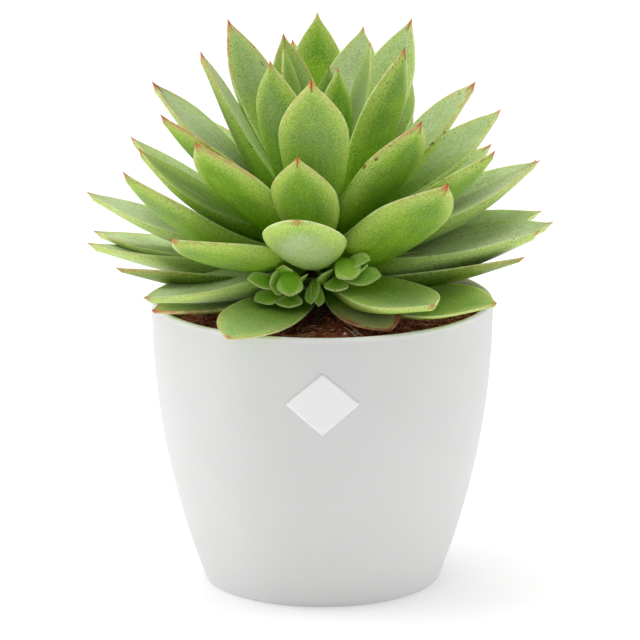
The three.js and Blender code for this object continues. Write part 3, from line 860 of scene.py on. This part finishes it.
def bloom_powder(leaf):
    """How much bloom lies on the leaf. It grows along the leaf, sooner the more bloom the
    leaf has; the upper face takes most, and under it the keel, where the pale powder is
    partly bloom and partly painted light from below; noises make it uneven."""
    # Under the leaf the powder grows towards the keel: partly bloom, partly painted light
    # from below.
    face = leaf.upper * (0.8 + 0.2 * leaf.rim.step(0.1, 0.3)) + leaf.under * (
        0.2 + 0.55 * leaf.bloom * leaf.rim.step(0.2, 0.7))
    grown = leaf.along.step(0.32 - 0.3 * leaf.bloom, 0.85 - 0.25 * leaf.bloom)
    uneven = 1.0 + 1.3 * (leaf.cloud - 0.5) + 0.6 * (leaf.mottle - 0.5) + 2.6 * leaf.grain
    return (grown * leaf.bloom * face * uneven).clipped(0.0, 0.95)


def fine_grain(leaf, colour, deep):
    """Bright grains where the fine noise is high and dark ones where it is low."""
    # Bright grains grow in the band under the margin on the underside, part of its painted
    # light.
    bright = leaf.speckle.step(0.5, 0.64) * (0.28 + 0.2 * leaf.band * leaf.under)
    colour = bright.blend(colour, GRAIN_GREEN)
    return (leaf.speckle.step(0.5, 0.37) * 0.48).blend(colour, deep)


def leaf_margin(leaf, colour, pale_line):
    """A pale line on the margin. Towards the end of the leaf comes a tan band with broken
    pink, both as strong as the edge's red; above 0.88 they also widen and blush, a real
    blush made paler as painted light where the leaf lies in shade."""
    blush = leaf.edge_red.step(0.88, 1.0)
    late = (leaf.along + 0.35 * (leaf.mottle - 0.5)).step(0.55 - 0.3 * blush,
                                                          0.97 - 0.2 * blush)
    tan = leaf.rim.step(0.3 + 1.6 * blush, 0.05) * late * (0.03 + 0.8 * leaf.edge_red) * 0.7
    colour = tan.blend(colour, MARGIN_TAN)
    # Painted light: the pale blush lightens the margin of a shaded leaf over its real
    # pink-tan.
    colour = (tan * blush).blend(colour, MARGIN_BLUSH_AND_LIGHT)
    line = (leaf.rim + 0.08 * (leaf.mottle - 0.5)).step(pale_line, 0.01) * (
        0.9 - 0.7 * leaf.edge_red * late)
    colour = line.blend(colour, MARGIN_LINE)
    pink = (leaf.rim - 0.5 * blush * leaf.streak).step(0.1, 0.02) * late
    pink = pink * leaf.edge_red * leaf.mottle.step(0.32, 0.52)
    return pink.blend(colour, MARGIN_PINK)


def red_tip(leaf, colour):
    """Red round the tip, a dark spine along the middle behind it and a brown point. Each
    is as strong as the tip's red, and lies within some tenths of a width from the tip."""
    red = (leaf.from_tip + 0.06 * (leaf.mottle - 0.5)).step(
        0.08 + 0.1 * leaf.tip_red, 0.03) * (0.3 + 0.7 * leaf.tip_red)
    colour = red.blend(colour, TIP_RED)
    spine = leaf.reach.step(0.4, 0.06) * leaf.from_tip.step(0.24, 0.14)
    spine = spine * leaf.tip_red.step(0.6, 1.0) * 0.8
    colour = spine.blend(colour, SPINE_RED)
    point = leaf.from_tip.step(0.04, 0.012) * (0.15 + 0.75 * leaf.tip_red)
    return point.blend(colour, POINT_BROWN)


def brown_specks(leaf, colour):
    """Round dots: the middles of small cells, where a slower noise is high. The leaves
    with the most specks also have larger marks, broken up by the mottle."""
    dots = leaf.wire.add("TexVoronoi", {"Vector": leaf.place, "Scale": 520.0}, feature="F1")
    chosen = leaf.wire.noise(leaf.place, 170.0, 2.0) + 0.2 * leaf.specks
    chosen = (chosen + 0.1 * leaf.reach.step(0.5, 1.0)).step(0.69, 0.78)
    dot = dots.step(0.22, 0.1) * chosen * leaf.along.step(0.2, 0.5)
    colour = (dot * 0.85).blend(colour, DOT_BROWN)
    cells = {"Vector": leaf.stretched(3.4, 9.0, 31.0), "Scale": 1.0}
    marks = leaf.wire.add("TexVoronoi", cells, feature="F1")
    mark = marks.step(0.2, 0.1) * leaf.specks.step(0.55, 0.85) * leaf.rim.step(0.45, 0.2)
    return (mark * leaf.mottle.step(0.42, 0.52) * 0.8).blend(colour, MARK_BROWN)


def waxy_leaf(name, foot, flesh, deep, edge, bloom_colour, pale_line):
    """The finish, laid on in order: flesh, bloom, grain, margin, tip and specks. Bloom
    dulls the wax, and the relief is a sum of the streaks, the grain and the noises."""
    material, wire = new_finish(
        name, Subsurface_Weight=0.25, Subsurface_Radius=(0.5, 1.0, 0.05),
        Subsurface_Scale=0.004, Specular_IOR_Level=0.06)
    leaf = LeafSurface(wire)
    powder = bloom_powder(leaf)
    colour = powder.blend(leaf_flesh(leaf, foot, flesh, deep, edge), bloom_colour)
    colour = fine_grain(leaf, colour, deep)
    colour = leaf_margin(leaf, colour, pale_line)
    colour = red_tip(leaf, colour)
    colour = brown_specks(leaf, colour)
    roughness = 0.33 + 0.28 * powder + 0.12 * (leaf.speckle - 0.5)
    height = 0.2 * leaf.streak + 0.8 * leaf.grain + 0.35 * leaf.mottle + 0.2 * leaf.speckle
    connect(material, colour, roughness, height, 0.0005)
    return material


# edge is the colour of the band under the margin, partly a paler zone and partly painted
# light.
rosette_finish = waxy_leaf(
    "waxy_leaf", foot=(0.35, 0.63, 0.001), flesh=(0.225, 0.43, 0.001),
    deep=(0.11, 0.27, 0.001), edge=(0.62, 0.77, 0.18), bloom_colour=(0.72, 0.80, 0.52),
    pale_line=0.07)

# Each group: its piece, its rows, the thickness as a share of the width, and how far out
# from the stem's axis its leaves start.
ROSETTE_GROUPS = [
    ("rim_leaves", RIM_LEAVES, 0.23, BASE_RADIUS),
    ("low_leaves", LOW_LEAVES, 0.34, BASE_RADIUS),
    ("middle_leaves", MIDDLE_LEAVES, 0.31, BASE_RADIUS),
    ("upper_leaves", UPPER_LEAVES, 0.31, BASE_RADIUS),
    ("heart_leaves", HEART_LEAVES, 0.31, BASE_RADIUS),
    ("back_leaves", back_rows(), 0.31, BASE_RADIUS),
    ("bud_leaves", BUD_LEAVES, 0.4, BUD_RADIUS),
]
FIRST_GROUP_SEED = 41
for seed, (name, rows, thickness, start) in enumerate(ROSETTE_GROUPS, FIRST_GROUP_SEED):
    heights = np.asarray(rows, float)[:, 5]
    roots = np.stack([STEM_X + 0 * heights, 0 * heights, DATUM + heights], -1)
    skins = leaf_skins(rows, thickness, roots, start, LEAF_STATIONS, LEAF_SIDES, seed)
    new_leaves(name, skins, rosette_finish, "leaf", "rosette")

STEM_PROFILE = [[0, 95], [5.5, 95], [7, 113], [7.2, 125], [6.8, 140], [6, 153], [4, 156],
                [0, 157]]
STEM_SIDES = 40
BARK_GREEN = (0.06, 0.05, 0.015)
SCAR_BROWN = (0.09, 0.05, 0.025)


def stem_bark():
    """Greenish-brown stem, browner where old leaves came off."""
    material, wire = new_finish("stem_bark", Specular_IOR_Level=0.3)
    place = wire.add("TexCoord", output="Object")
    scar = wire.noise(place, 170.0, 3.0)
    colour = scar.step(0.4, 0.6).blend(BARK_GREEN, SCAR_BROWN)
    connect(material, colour, 0.6 + 0.2 * scar, scar, 0.0006)
    return material


bark_finish = stem_bark()
points, quads, fans = revolve(STEM_PROFILE, STEM_SIDES)
new_piece("rosette_stem", points + [STEM_X, 0, 0], quads, fans, bark_finish, "leaf",
          "rosette")

# ---- Offsets ---------------------------------------------------------------
# Three young heads on one thin branching stem, which comes up between two rim leaves.
# Their leaves are small, thick and spoon-shaped, fresh green and with little bloom.

# Each piece of the stem starts at the first point, leans towards the second and ends at
# the third; its radius follows.
OFFSET_PATHS = [
    ([-1.4, -27, 103], [-1.4, -27, 128], [-3.2, -29.5, 129.5], 1.1),
    ([-3.2, -29.5, 129.5], [-8, -31, 131], [-13.5, -34.2, 131.3], 0.9),
    ([-3.2, -29.5, 129.5], [-3.1, -30, 130], [-3, -30.5, 131], 0.9),
    ([-3.2, -29.5, 129.5], [2, -31, 132], [6.5, -34.2, 136.3], 0.9),
    ([-13.5, -34.2, 128.3], [-13.5, -34.2, 131.3], [-13.5, -34.2, 134.3], 1.1),
    ([-3, -30.5, 128], [-3, -30.5, 131], [-3, -30.5, 134], 1.1),
    ([6.5, -34.2, 133.3], [6.5, -34.2, 136.3], [6.5, -34.2, 139.3], 1.1),
]
# Each head: its place, then rows like the rosette's up to the bluntness. The young leaves
# share their red and specks, and each head has its own bloom.
OFFSET_HEADS = [
    ([-13.5, -34.2, 131.3],
     [[-61, 12, 10, 19.5, 9, 1.2, -38, 0.1], [-56, -8, 20, 17, 9, -1.5, -25, 0.2],
      [0, -16, 24, 13, 11, -2.2, 0, 0.5], [3, -24, -70, 14, 11, 3.5, 180, 0.6],
      [-38, 6, -20, 12, 10, 1, -80, 0.5], [-25, 60, 20, 10, 8, 1, 0, 0.3],
      [70, 30, 20, 9, 7, 1, 0, 0.3]]),
    ([-3, -30.5, 131],
     [[-8, -33, -20, 15, 7, 2.5, 28, 0.3], [8, -36, -10, 14, 6.5, 1.5, -25, 0.3],
      [61, 42, -20, 11, 8, 0, 0, 0.2]]),
    ([6.5, -34.2, 136.3],
     [[49, 22, -36, 18, 7, 1.6, 46, 0.4], [64, 5, 16, 19, 10, -0.5, 35, 0.2],
      [62, 22, 30, 14, 8, 0, 20, 0.3], [28, -15, -60, 13, 11, 3, -160, 0.6],
      [-8, -13, 24, 12, 10, -1.5, 0, 0.5]]),
]
YOUNG_TRAITS = [0.1, 0.0, 0.0]
YOUNG_BLOOM = [0.15, 0.2, 0.35]
YOUNG_THICKNESS = 0.36
YOUNG_START = 0.3
YOUNG_STATIONS = 26
YOUNG_SIDES = 24
YOUNG_SEED = 60
TWIG_STATIONS = 14
TWIG_SIDES = 12


def offset_rows():
    """The rows of every head with the young leaves' traits, and the root of each leaf."""
    rows = np.concatenate([np.asarray(head, float) for _, head in OFFSET_HEADS])
    middles = np.concatenate([np.tile(at, (len(head), 1)) for at, head in OFFSET_HEADS])
    bloom = np.repeat(YOUNG_BLOOM, [len(head) for _, head in OFFSET_HEADS])
    traits = np.tile(YOUNG_TRAITS, (len(rows), 1))
    rows = np.concatenate([rows, traits, bloom[:, None]], 1)
    return rows, middles + rows[:, 5:6] * [0, 0, 1]


# edge is the colour of the band under the margin, partly a paler zone and partly painted
# light.
young_finish = waxy_leaf(
    "young_leaf", foot=(0.20, 0.44, 0.005), flesh=(0.38, 0.66, 0.05), deep=(0.22, 0.48, 0.02),
    edge=(0.70, 0.88, 0.32), bloom_colour=(0.70, 0.88, 0.34), pale_line=0.16)
rows, roots = offset_rows()
skins = leaf_skins(rows, YOUNG_THICKNESS, roots, YOUNG_START, YOUNG_STATIONS, YOUNG_SIDES,
                   YOUNG_SEED)
new_leaves("offset_leaves", skins, young_finish, "young_leaf", "offsets")
paths = curved_through([row[:3] for row in OFFSET_PATHS], TWIG_STATIONS)
twig_radius = np.array([row[3] for row in OFFSET_PATHS])
new_piece("offset_stems", *strands(paths, twig_radius, TWIG_SIDES), bark_finish,
          "young_leaf", "offsets")

# ---- Studio ----------------------------------------------------------------
# A wide pale floor, soft panels at both sides and above, and a weaker one in front. The
# camera looks down at the plant by 14 degrees from the label's side. The panels' and the
# camera's places are in metres.

FLOOR_SIZE = 24000
FLOOR_DROP = 0.1
FLOOR_GLOW = 0.24
FLOOR_SHADE = (0.90, 0.90, 0.90)
FLOOR_WHITE = (0.91, 0.91, 0.91)

corners = np.array([[-1, -1, 0], [1, -1, 0], [1, 1, 0], [-1, 1, 0]]) * FLOOR_SIZE / 2
mesh = bpy.data.meshes.new("floor")
mesh.from_pydata(((corners - [0, 0, FLOOR_DROP]) * MM).tolist(), [], [[0, 1, 2, 3]])
floor = bpy.data.objects.new("floor", mesh)
bpy.context.scene.collection.objects.link(floor)
material, wire = new_finish("pale_floor", Specular_IOR_Level=0.0,
                            Emission_Color=(1, 1, 1, 1), Emission_Strength=FLOOR_GLOW)
haze = wire.noise(wire.add("TexCoord", output="Object"), 1.0)
colour = haze.step(0.0, 1.0).blend(FLOOR_SHADE, FLOOR_WHITE)
connect(material, colour, 0.88 + 0.04 * haze, haze, 0.0)
mesh.materials.append(material)

PANEL_TARGET = (0, 0, 0.12)
WORLD_STRENGTH = 0.2


def soft_panel(name, place, size, power):
    """A square area light that faces the plant: it is turned by the slope and then by the
    heading of the line from its place to the target."""
    light = bpy.data.lights.new(name, "AREA")
    light.shape = "SQUARE"
    light.size = size
    light.energy = power
    panel = bpy.data.objects.new(name, light)
    panel.location = place
    way = np.subtract(PANEL_TARGET, place)
    panel.rotation_euler = (np.arccos(-way[2] / np.linalg.norm(way)), 0,
                            np.arctan2(way[1], way[0]) - np.pi / 2)
    bpy.context.scene.collection.objects.link(panel)


soft_panel("left_panel", (-1.7, 0.1, 0.7), size=1.5, power=12)
soft_panel("right_panel", (1.7, 0.1, 0.7), size=1.5, power=11)
soft_panel("top_panel", (-0.3, 0.3, 3.0), size=3.0, power=84)
soft_panel("front_panel", (-0.5, -2.4, 1.4), size=1.6, power=5)

world = bpy.data.worlds.new("studio")
world.use_nodes = True
sky = world.node_tree.nodes["Background"]
sky.inputs["Color"].default_value = (1, 1, 1, 1)
sky.inputs["Strength"].default_value = WORLD_STRENGTH
bpy.context.scene.world = world
bpy.context.scene.view_settings.view_transform = "Standard"

CAMERA_TARGET = np.array([-0.001, 0, 0.1083])
CAMERA_DISTANCE = 2.021
CAMERA_LENS = 277.0
CAMERA_FILM = 36
LOOK_DOWN = np.radians(14)

camera_data = bpy.data.cameras.new("camera")
camera_data.sensor_width = CAMERA_FILM
camera_data.lens = CAMERA_LENS
camera = bpy.data.objects.new("camera", camera_data)
camera.location = CAMERA_TARGET + CAMERA_DISTANCE * np.array(
    [0, -np.cos(LOOK_DOWN), np.sin(LOOK_DOWN)])
camera.rotation_euler = (np.pi / 2 - LOOK_DOWN, 0, 0)
bpy.context.scene.collection.objects.link(camera)
bpy.context.scene.camera = camera
